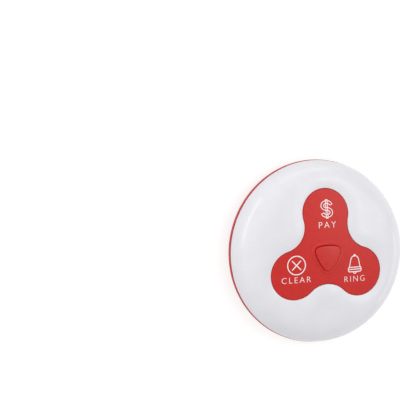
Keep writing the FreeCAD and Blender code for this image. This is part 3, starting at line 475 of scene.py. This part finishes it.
def makeKeypadSkin():
    sizes = skinSizes
    edge, bottom = sizes["edgeRound"], keypad["bottom"]

    def onKeypad(spot, lift=0.0):
        return *spot, keypadHeight(math.hypot(*spot)) + lift

    def edgeTop(turn):
        return keypadHeight(lobedRadius(keypadForm, turn, -edge))

    def windowWall(share):
        def place(turn):
            spot = windowPoint(turn)
            lip = sizes["windowLip"] * (1 - softSide(turn))
            return *spot, bottom + (keypadHeight(math.hypot(*spot)) - lip - bottom) * share
        return place

    def ridgeRing(share):
        margin = sizes["rimEnd"] * share ** sizes["rimSpread"]
        off = (margin - sizes["rimMiddle"]) / sizes["rimHalf"]
        crest = max(1 - off * off, 0.0) ** 2

        def place(turn):
            rise = sizes["rimRise"] * (1 - sizes["rimSoft"] * softSide(turn))
            return onKeypad(windowPoint(turn, margin), rise * crest)
        return place

    def topRing(share):
        def place(turn):
            rim = windowPoint(turn, sizes["rimEnd"])
            return onKeypad(between(rim, outlinePoint(turn, sizes["topMargins"][0]), share))
        return place

    def outerRing(margin):
        def place(turn):
            radius = lobedRadius(keypadForm, turn, margin)
            return radius, keypadHeight(radius)
        return place

    def edgeRing(slope):
        def place(turn):
            radius = lobedRadius(keypadForm, turn, edge * (math.sin(slope) - 1))
            return radius, edgeTop(turn) - edge * (1 - math.cos(slope))
        return place

    def sideRing(share):
        def place(turn):
            top = edgeTop(turn) - edge
            return lobedRadius(keypadForm, turn), top + (bottom - top) * share
        return place

    def lowRing(share):
        return lambda turn: (*between(outlinePoint(turn), windowPoint(turn), share), bottom)

    rings = [windowWall(share) for share in shares(sizes["wallSteps"], first=0)]
    rings += [ridgeRing(share) for share in shares(sizes["rimSteps"])]
    rings += [topRing(share) for share in shares(sizes["topSteps"])]
    rings += [outerRing(margin) for margin in sizes["topMargins"][1:]]
    rings += [edgeRing(slope) for slope in quarter(sizes["edgeSteps"])]
    rings += [sideRing(share) for share in shares(sizes["sideSteps"])]
    rings += [lowRing(share) for share in shares(sizes["lowSteps"])[:-1]]
    for key, angle in keyAngles.items():
        # the whole skin is made for each key and cut down to that key's third
        bm = sweepRings(rings, closed=True)
        for side in (-1, 1):
            turn = math.radians(angle + side * lobeStep / 2)
            outwards = Vector((-math.sin(turn), math.cos(turn), 0)) * side
            bmesh.ops.bisect_plane(bm, geom=bm.verts[:] + bm.edges[:] + bm.faces[:], dist=tinyLength,
                                   plane_co=(0, 0, 0), plane_no=outwards, clear_outer=True)
        bmesh.ops.edgeloop_fill(bm, edges=[item for item in bm.edges if item.is_boundary])
        bmesh.ops.recalc_face_normals(bm, faces=bm.faces)
        skin = finishPiece(bm, f"{key}_key_skin", "red_silicone", node=f"{key}_key")
        bendWithKey(skin)


flangeSizes = {"inner": 0.06, "outer": 2.2, "top": 11.6, "bottom": 10.76}


def makeFlange():
    # the thin web round the keys that the cover clamps
    sizes = flangeSizes
    corners = [("inner", "bottom"), ("outer", "bottom"), ("outer", "top"), ("inner", "top")]
    bm = sweepRings([outlineRing(sizes[margin], sizes[level]) for margin, level in corners], closed=True)
    finishPiece(bm, "keypad_flange", "red_silicone", "case", "keypad_membrane")


lensSizes = {
    "gap": 0.04,
    "top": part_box("indicator_lens")[1].z / millimetre,
    "domeRadius": 40.0,
    "bottom": 10.8,
    "edgeRound": 0.4,
    "softShare": 0.75,                 # share of the gap and rounding that is lost on the soft side
    "divisions": 144,
    "wallSteps": 3, "edgeSteps": 5,
    "topShares": (0.06, 0.14, 0.24, 0.36, 0.5, 0.65, 0.8, 0.92),   # rings from the edge to the middle
}


def makeLens():
    sizes = lensSizes
    bottom, bulge = sizes["bottom"], sizes["domeRadius"]

    def gapAt(turn):
        return sizes["gap"] * (1 - sizes["softShare"] * softSide(turn))

    def edgeAt(turn):
        return sizes["edgeRound"] * (1 - sizes["softShare"] * softSide(turn))

    def lensHeight(spot):
        # the lens is domed about the middle of the case
        return sizes["top"] - bulge + math.sqrt(bulge ** 2 - spot[0] ** 2 - spot[1] ** 2)

    def sidePoint(turn):
        return windowPoint(turn, -gapAt(turn))

    def wallRing(share):
        def place(turn):
            spot = sidePoint(turn)
            return *spot, bottom + (lensHeight(spot) - edgeAt(turn) - bottom) * share
        return place

    def edgeRing(slope):
        def place(turn):
            inwards, down = edgeAt(turn) * (1 - math.cos(slope)), edgeAt(turn) * (1 - math.sin(slope))
            return *windowPoint(turn, -gapAt(turn) - inwards), lensHeight(sidePoint(turn)) - down
        return place

    def topRing(share):
        def place(turn):
            rim = windowPoint(turn, -gapAt(turn) - edgeAt(turn))
            spot = between(rim, (0.0, -windowDrop), share)
            lift = lensHeight(sidePoint(turn)) - lensHeight(rim)
            return *spot, lensHeight(spot) + lift * (1 - share) ** 2
        return place

    rings = [wallRing(share) for share in shares(sizes["wallSteps"], first=0)[:-1]]
    rings += [edgeRing(slope) for slope in quarter(sizes["edgeSteps"])]
    rings += [topRing(share) for share in sizes["topShares"]]
    bm = sweepRings(rings, closed=False, count=sizes["divisions"])
    finishPiece(bm, "window_lens", "red_lens", "case", "indicator_lens")


makeKeypadSkin()
makeFlange()
makeLens()
print("keypad made")

printSizes = {
    "ringStroke": 0.32,
    "currencyStroke": 0.26,
    "bellStroke": 0.3,
    "longestStep": 0.6,                # between points, so that a straight line follows the keypad's dome
    "thickness": 0.03,
    "wordThin": 0.045,                 # takes this much off each side of a letter's strokes
    "wordSpacing": 1.32,
    "capitalShare": 0.729,             # height of the built-in letters' capitals, as a share of the size
    "wordDepth": 0.5,                  # any depth will do, since printOn flattens the drawing
    "strokeDetail": 2, "letterDetail": 4,  # divisions of a stroke's round side and of a letter's curves
}


def finePath(points, closed):
    # the path with more points on its long straight stretches
    ends = points[1:] + points[:1] if closed else points[1:]
    fine = []
    for first, last in zip(points, ends):
        steps = math.ceil(math.dist(first, last) / printSizes["longestStep"])
        fine += [between(first, last, share) for share in shares(steps, first=0)[:-1]]
    return fine if closed else fine + points[-1:]


def strokes(name, paths, width):
    # round-ended lines of one width in the XY plane; a path is (points, closed)
    curve = bpy.data.curves.new(name, "CURVE")
    curve.dimensions = "3D"
    curve.bevel_depth = width / 2
    curve.bevel_resolution = printSizes["strokeDetail"]
    curve.use_fill_caps = True
    for path, closed in paths:
        points = finePath(path, closed)
        spline = curve.splines.new("POLY")
        spline.points.add(len(points) - 1)
        for point, (across, up) in zip(spline.points, points):
            point.co = (across, up, 0, 1)
        spline.use_cyclic_u = closed
    return addObject(name, curve)


def lettering(name, text, height):
    font = bpy.data.curves.new(name, "FONT")
    font.body = text
    font.size = height / printSizes["capitalShare"]
    font.space_character = printSizes["wordSpacing"]
    font.align_x, font.align_y = "CENTER", "CENTER"
    font.offset = -printSizes["wordThin"]
    font.extrude = printSizes["wordDepth"]
    font.resolution_u = printSizes["letterDetail"]
    return addObject(name, font)


def printOn(name, holder, across, up):
    # the drawing is laid on the keypad's dome as a thin film
    bpy.context.view_layer.update()
    graph = bpy.context.evaluated_depsgraph_get()
    mesh = bpy.data.meshes.new_from_object(holder.evaluated_get(graph))
    bpy.data.objects.remove(holder)
    bm = bmesh.new()
    bm.from_mesh(mesh)
    bpy.data.meshes.remove(mesh)
    bmesh.ops.remove_doubles(bm, verts=bm.verts, dist=tinyLength)
    bmesh.ops.recalc_face_normals(bm, faces=bm.faces)
    bmesh.ops.translate(bm, vec=(across, up, 0), verts=bm.verts)
    highest = max(vert.co.z for vert in bm.verts)
    for vert in bm.verts:
        radius = math.hypot(vert.co.x, vert.co.y)
        vert.co.z = keypadHeight(radius) + printSizes["thickness"] * vert.co.z / highest
    bendWithKey(finishPiece(bm, name, "print_ink"))


def offsetPath(points, distance):
    # the path moved sideways, to the left of its own direction when positive
    moved = []
    for i, (across, up) in enumerate(points):
        before, after = points[max(i - 1, 0)], points[min(i + 1, len(points) - 1)]
        dx, dy = after[0] - before[0], after[1] - before[1]
        length = math.hypot(dx, dy)
        moved.append((across - dy / length * distance, up + dx / length * distance))
    return moved


currencyForm = {
    "bend": 1.12,                      # radius of the S's two bends
    "stretch": 1.38,                   # the S is this much wider than its bends
    "endAngle": 12,                    # degrees above level at the S's upper end
    "steps": 20,
    "bandHalf": 0.45, "barHalf": 0.3, "barReach": 3.02,
}


def currencySign():
    # an S drawn as a hollow band, with a hollow bar that runs through it from top to bottom
    form = currencyForm
    bend, half = form["bend"], form["bandHalf"]
    upper = arcPoints((0, bend), bend, form["endAngle"], 270, form["steps"])
    lower = arcPoints((0, -bend), bend, 90, form["endAngle"] - 180, form["steps"])
    spine = [(across * form["stretch"], up) for across, up in upper + lower[1:]]
    band = offsetPath(spine, half) + list(reversed(offsetPath(spine, -half)))
    corners = ((-1, -1), (1, -1), (1, 1), (-1, 1))
    bar = [(form["barHalf"] * across, form["barReach"] * up) for across, up in corners]
    return strokes("currencySign", [(band, True), (bar, True)], printSizes["currencyStroke"])


crossForm = {"radius": 3.0, "steps": 48, "reach": 1.5}


def crossedRing():
    ring = arcPoints((0, 0), crossForm["radius"], 0, 360, crossForm["steps"])[:-1]
    reach = crossForm["reach"]
    bars = [([(-reach, -side * reach), (reach, side * reach)], False) for side in (1, -1)]
    return strokes("crossedRing", [(ring, True)] + bars, printSizes["ringStroke"])


# An arc is given as its centre, radius, first and last degrees, and steps.
bellForm = {
    "flank": [(-1.95, -1.1), (-1.62, 0.5)],
    "crown": ((0, 1.2), 1.42, 165, 15, 16),
    "knob": ((0, 2.75), 0.26, 0, 360, 12),
    "mouth": [((-1.95, -1.5), 0.38, 90, 180, 6), ((-1.85, -2.1), 0.48, 180, 270, 6),
              ((1.85, -2.1), 0.48, 270, 360, 6), ((1.95, -1.5), 0.38, 0, 90, 6)],
    "mouthLine": [(-2.2, -1.8), (2.2, -1.8)],
    "clapper": ((0, -2.6), 0.55, 180, 360, 10),
}


def bellSign():
    form = bellForm
    mirrored = [(-across, up) for across, up in reversed(form["flank"])]
    body = form["flank"] + arcPoints(*form["crown"]) + mirrored
    mouth = [point for arc in form["mouth"] for point in arcPoints(*arc)]
    paths = [(body, False), (arcPoints(*form["knob"])[:-1], True), (mouth, True),
             (form["mouthLine"], False), (arcPoints(*form["clapper"]), False)]
    return strokes("bellSign", paths, printSizes["bellStroke"])


# each key's sign with its place across and up, and its word with the capitals' height and its place
prints = {
    "pay": ((currencySign, 0.45, 14.3), ("PAY", 2.2, 0.3, 9.1)),
    "clear": ((crossedRing, -10.7, -3.3), ("CLEAR", 2.05, -10.85, -8.15)),
    "ring": ((bellSign, 9.75, -4.0), ("RING", 2.0, 9.65, -9.0)),
}
for key, ((drawSign, signAcross, signUp), (text, height, wordAcross, wordUp)) in prints.items():
    printOn(f"{key}_sign", drawSign(), signAcross, signUp)
    printOn(f"{key}_word", lettering(f"{key}Word", text, height), wordAcross, wordUp)
print("printing made")

baseSizes = {
    "band": 1.1, "heel": 1.6, "slope": 35.0, "heelSteps": 10,
    "bore": 13.4, "boreWall": 1.8, "boreTop": 4.8,
    "seatRadius": 14.75, "seatLevel": 1.75,
    "recessInner": 15.95, "recessOuter": 22.25, "recessLevel": 1.2, "floor": 2.4,
    "tongue": 28.0, "tongueWall": 1.2, "tongueTop": 6.4,
    "grooveInner": 28.2, "grooveOuter": 29.2, "grooveDepth": 0.5,
    "edgeRound": 0.16, "edgeSegments": 2,
}


def makeBase():
    sizes = baseSizes
    heelCentre = (caseRadius - sizes["heel"], seamLevel - sizes["band"])
    heel = arcPoints(heelCentre, sizes["heel"], sizes["slope"] - 90, 0, sizes["heelSteps"])
    slope = math.tan(math.radians(sizes["slope"]))
    coneEnd = heel[0][0] - (heel[0][1] - underside) / slope
    grooveLevel = seamLevel - sizes["grooveDepth"]
    tongueInner = sizes["tongue"] - sizes["tongueWall"]
    boreOuter = sizes["bore"] + sizes["boreWall"]
    corners = [
        (sizes["bore"], sizes["boreTop"]), (sizes["bore"], sizes["seatLevel"]),
        (sizes["seatRadius"], sizes["seatLevel"]), (sizes["seatRadius"], underside),
        (sizes["recessInner"], underside), (sizes["recessInner"], sizes["recessLevel"]),
        (sizes["recessOuter"], sizes["recessLevel"]), (sizes["recessOuter"], underside),
        (coneEnd, underside), *heel, (caseRadius, seamLevel),
        (sizes["grooveOuter"], seamLevel), (sizes["grooveOuter"], grooveLevel),
        (sizes["grooveInner"], grooveLevel), (sizes["grooveInner"], seamLevel),
        (sizes["tongue"], seamLevel), (sizes["tongue"], sizes["tongueTop"]),
        (tongueInner, sizes["tongueTop"]), (tongueInner, sizes["floor"]),
        (boreOuter, sizes["floor"]), (boreOuter, sizes["boreTop"]),
    ]
    bm = spinProfile(corners)
    softenEdges(bm, sizes["edgeRound"], sizes["edgeSegments"])
    finishPiece(bm, "base_tray", "red_abs", "case", "base_shell")


footSizes = {"inner": 16.2, "edgeRound": 0.2, "edgeSegments": 3}


def makeFoot():
    sizes = footSizes
    low, high = (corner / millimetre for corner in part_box("foot_ring"))
    bm = spinProfile([(sizes["inner"], low.z), (high.x, low.z), (high.x, high.z), (sizes["inner"], high.z)])
    softenEdges(bm, sizes["edgeRound"], sizes["edgeSegments"])
    finishPiece(bm, "table_foot", "foot_foam", "case", "foot_ring")


doorSizes = {
    "slotHalf": 6.5, "slotRadius": 1.0, "slotDepth": 0.8,
    "capShare": 1.25,                  # above 1, more of a ring's points go to the slot's round ends
    "edgeRound": 0.25, "slotSteps": 3, "edgeSteps": 4,
    "flange": 14.6, "flangeTop": 1.6,
    "plug": 13.3, "wall": 1.3, "wallTop": 4.4,
    "inside": 2.3,                     # level of the plug's floor
    "floorRing": 4.0,                  # the face that fills the floor's middle starts here
    "faceShares": (0.4, 1.0),          # rings between the slot and the fine groove round it
    "ringGroove": 12.2, "ringGrooveWidth": 0.5, "ringGrooveDepth": 0.15,
    "ringGrooveFloor": 0.6,            # the groove's floor, as a share of its width
    "sealRoom": 0.05,                  # between the seal ring and its groove
    "threads": 3, "threadDepth": 0.35, "threadEnds": 0.2,
    "threadShares": (0.3, 0.55, 0.75),     # of a pitch: the root ends, the crest starts, the crest ends
}


def makeDoor():
    sizes = doorSizes
    edge, plug = sizes["edgeRound"], sizes["plug"]
    cap = math.acos(1 / sizes["capShare"])

    def slotPlace(turn, margin):
        # the coin slot's outline, a straight-sided hole with round ends
        radius = sizes["slotRadius"] + margin
        right = abs(turn) < math.pi / 2
        fold = abs(turn) if right else math.pi - abs(turn)
        side = 1 if right else -1
        level = 1 if turn >= 0 else -1
        if fold > cap:
            return side * sizes["slotHalf"] * math.cos(fold) * sizes["capShare"], level * radius
        slope = fold / cap * math.pi / 2
        return side * (sizes["slotHalf"] + radius * math.cos(slope)), level * radius * math.sin(slope)

    def slotRing(margin, level):
        return lambda turn: (*slotPlace(turn, margin), level)

    def faceRing(share, radius):
        def place(turn):
            rim = radius * math.cos(turn), radius * math.sin(turn)
            return *between(slotPlace(turn, edge), rim, share), underside
        return place

    groove, half = sizes["ringGroove"], sizes["ringGrooveWidth"] / 2
    deep, floorHalf = underside + sizes["ringGrooveDepth"], half * sizes["ringGrooveFloor"]
    rings = [slotRing(0, underside + sizes["slotDepth"])]
    rings += [slotRing(edge * (1 - math.cos(slope)), underside + edge * (1 - math.sin(slope)))
              for slope in quarter(sizes["slotSteps"])]
    rings += [faceRing(share, groove - half) for share in sizes["faceShares"]]
    rings += [roundRing(groove - floorHalf, deep), roundRing(groove + floorHalf, deep),
              roundRing(groove + half, underside)]
    rings += [roundRing(sizes["flange"] - edge + radius, underside + edge + level)
              for radius, level in arcPoints((0, 0), edge, -90, 0, sizes["edgeSteps"])]
    rings += [roundRing(sizes["flange"], sizes["flangeTop"]), roundRing(plug, sizes["flangeTop"])]
    # the groove that holds the seal ring
    sealLow, sealHigh = (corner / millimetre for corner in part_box("door_seal"))
    grooveLow, grooveHigh = sealLow.z - sizes["sealRoom"], sealHigh.z + sizes["sealRoom"]
    grooveFloor = sealHigh.x - (sealHigh.z - sealLow.z) - sizes["sealRoom"]
    rings += [roundRing(plug, grooveLow), roundRing(grooveFloor, grooveLow),
              roundRing(grooveFloor, grooveHigh), roundRing(plug, grooveHigh)]
    # the screw thread: three shallow ridges round the plug
    root = plug - sizes["threadDepth"]
    pitch = (sizes["wallTop"] - grooveHigh - sizes["threadEnds"]) / sizes["threads"]
    rootEnd, crestStart, crestEnd = (share * pitch for share in sizes["threadShares"])
    for i in range(sizes["threads"]):
        start = grooveHigh + sizes["threadEnds"] / 2 + pitch * i
        rings += [roundRing(root, start), roundRing(root, start + rootEnd),
                  roundRing(plug, start + crestStart), roundRing(plug, start + crestEnd)]
    inner = plug - sizes["wall"]
    rings += [roundRing(root, sizes["wallTop"]), roundRing(inner, sizes["wallTop"]),
              roundRing(inner, sizes["inside"]), roundRing(sizes["floorRing"], sizes["inside"])]
    bm = sweepRings(rings, closed=False)
    finishPiece(bm, "door_plug", "door_abs", "battery_door", "battery_door")


makeBase()
makeFoot()
makeDoor()
print("base, foot and door made")

# the nodes that stay as they are, such as the board and the switches, take their slots' finishes too
for part in frame["record"]["subparts"]:
    for slot in frame["nodes"][part["node"]].material_slots:
        slot.link = "OBJECT"
        slot.material = finishes[part["material_slot"]]
print("inner pieces finished")

white = (1, 1, 1, 1)
floorSizes = {"half": 2000.0, "colour": "b0b0b0", "glow": 0.70}


def makeFloor():
    # the glow shows to the camera, in gloss and through clear pieces, and matt surfaces get none of it
    bm = bmesh.new()
    bmesh.ops.create_grid(bm, x_segments=1, y_segments=1, size=floorSizes["half"])
    mesh = meshFrom(bm, "floor")
    material, tree, output = newMaterial("PaleFloor")
    matte = addNode(tree, "ShaderNodeBsdfDiffuse", {"Color": hexColour(floorSizes["colour"])})
    glow = addNode(tree, "ShaderNodeEmission", {"Color": white, "Strength": floorSizes["glow"]})
    seen = anyRay(tree, ("Is Camera Ray", "Is Glossy Ray", "Is Transmission Ray"))
    both = addNode(tree, "ShaderNodeAddShader", {}, {0: matte.outputs[0], 1: glow.outputs[0]})
    chosen = addNode(tree, "ShaderNodeMixShader", {}, {0: seen, 1: matte.outputs[0], 2: both.outputs[0]})
    tree.links.new(chosen.outputs[0], output.inputs["Surface"])
    mesh.materials.append(material)
    addObject("floor", mesh)


studio = {
    "skyStrength": 0.70,
    "distance": 500.0,
    "aim": (0, 0, 8),
    "lamps": [
        # name, azimuth and elevation in degrees, width, height, watts
        ("lowBackLamp", 85, 10, 420, 120, 0.30),
        ("lowLeftLamp", 150, 10, 420, 120, 0.57),
        ("leftLamp", 177, 22, 420, 260, 0.24),
        ("frontLeftLamp", 215, 12, 420, 160, 0.13),
        ("rightLamp", 345, 12, 300, 170, 0.22),
        ("upperRightLamp", 25, 52, 340, 200, 0.27),
        ("keypadLamp", 20, 61, 340, 150, 0.16),
    ],
}


def makeWorld():
    # pure white behind the object, and a weaker sky for its light
    world = bpy.data.worlds.new("studio")
    bpy.context.scene.world = world
    world.use_nodes = True
    tree = world.node_tree
    tree.nodes.clear()
    seen = anyRay(tree, ("Is Camera Ray", "Is Transmission Ray"))
    level = addNode(tree, "ShaderNodeMapRange", {"To Min": studio["skyStrength"], "To Max": 1.0},
                    {"Value": seen})
    sky = addNode(tree, "ShaderNodeBackground", {"Color": white}, {"Strength": level.outputs["Result"]})
    addNode(tree, "ShaderNodeOutputWorld", {}, {"Surface": sky.outputs[0]})


def makeLamps():
    for name, azimuth, elevation, width, height, watts in studio["lamps"]:
        light = bpy.data.lights.new(name, "AREA")
        light.shape = "RECTANGLE"
        light.size, light.size_y = width * millimetre, height * millimetre
        light.energy = watts
        lamp = addObject(name, light)
        turn, rise = math.radians(azimuth), math.radians(elevation)
        way = Vector((math.cos(turn) * math.cos(rise), math.sin(turn) * math.cos(rise), math.sin(rise)))
        lamp.location = (Vector(studio["aim"]) + way * studio["distance"]) * millimetre
        lamp.rotation_mode = "QUATERNION"
        lamp.rotation_quaternion = (-way).to_track_quat("-Z", "Y")


cameraView = {
    "place": (-197.1, 51.1, 455.7),
    "aim": (-37.83, 18.39, 0.0),
    "roll": 99.23,                     # degrees, so that the pay key points up
    "lens": 135.0,
    "sensor": 36.0,
    "clip": (0.01, 20.0),              # metres
}


def makeCamera():
    data = bpy.data.cameras.new("camera")
    data.lens = cameraView["lens"]
    data.sensor_width = cameraView["sensor"]
    data.clip_start, data.clip_end = cameraView["clip"]
    camera = addObject("camera", data)
    place, aim = Vector(cameraView["place"]), Vector(cameraView["aim"])
    turn = (aim - place).to_track_quat("-Z", "Y").to_matrix().to_4x4()
    roll = Matrix.Rotation(math.radians(cameraView["roll"]), 4, "Z")
    camera.matrix_world = Matrix.Translation(place * millimetre) @ turn @ roll
    bpy.context.scene.camera = camera


makeFloor()
makeWorld()
makeLamps()
makeCamera()
bpy.context.scene.view_settings.view_transform = "Standard"
print("stage, lamps and camera made")
